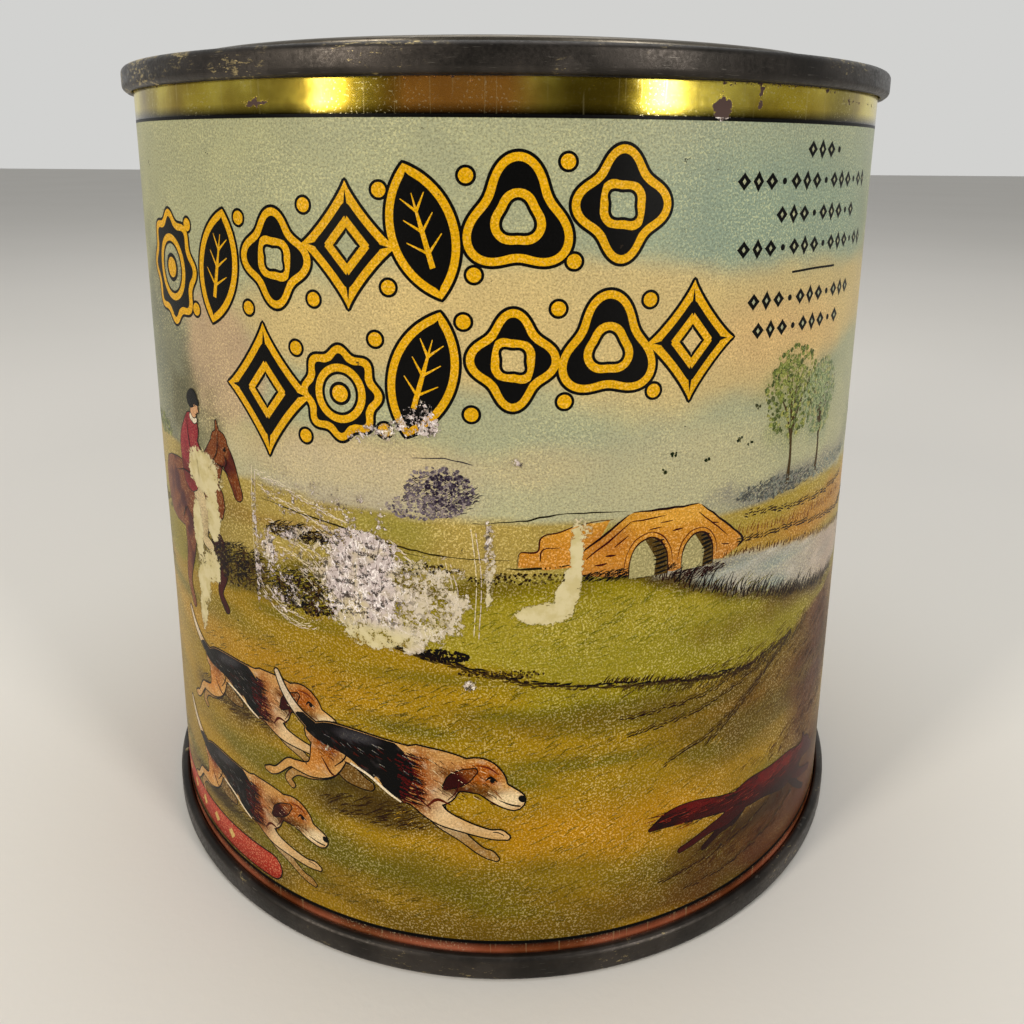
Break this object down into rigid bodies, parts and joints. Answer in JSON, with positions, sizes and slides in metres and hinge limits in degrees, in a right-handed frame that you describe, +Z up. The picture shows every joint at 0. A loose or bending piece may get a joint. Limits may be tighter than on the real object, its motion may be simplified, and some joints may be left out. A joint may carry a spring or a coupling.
{
  "type": "lever-lid food tin",
  "caption": "Round printed tinplate food tin with double-seamed ends and a press-in lever lid.",
  "frame": {"origin": "centre of the foot, in the plane that the tin stands on", "axes": "+Z up along the tin's axis, the picture's middle faces -Y and the side seam faces +Y"},
  "size_m": [0.1078, 0.1078, 0.1091],
  "materials": {
    "printed_tinplate": "printed and varnished litho with worn patches",
    "tarnished_tinplate": "dark tarnish with bright worn ridges",
    "lid_tinplate": "dulled tin with tarnish spots",
    "solder": "smooth dull solder"
  },
  "bodies": {
    "canister": {"body_shell": "printed_tinplate", "bottom_end": "tarnished_tinplate", "top_ring": "tarnished_tinplate", "side_seam_solder": "solder"},
    "lid": {"lever_lid": "lid_tinplate"}
  },
  "joints": [
    {"name": "lid_lift", "type": "slide", "parent": "canister", "child": "lid", "axis": [0, 0, 1], "range_m": [0, 0.04]}
  ]
}
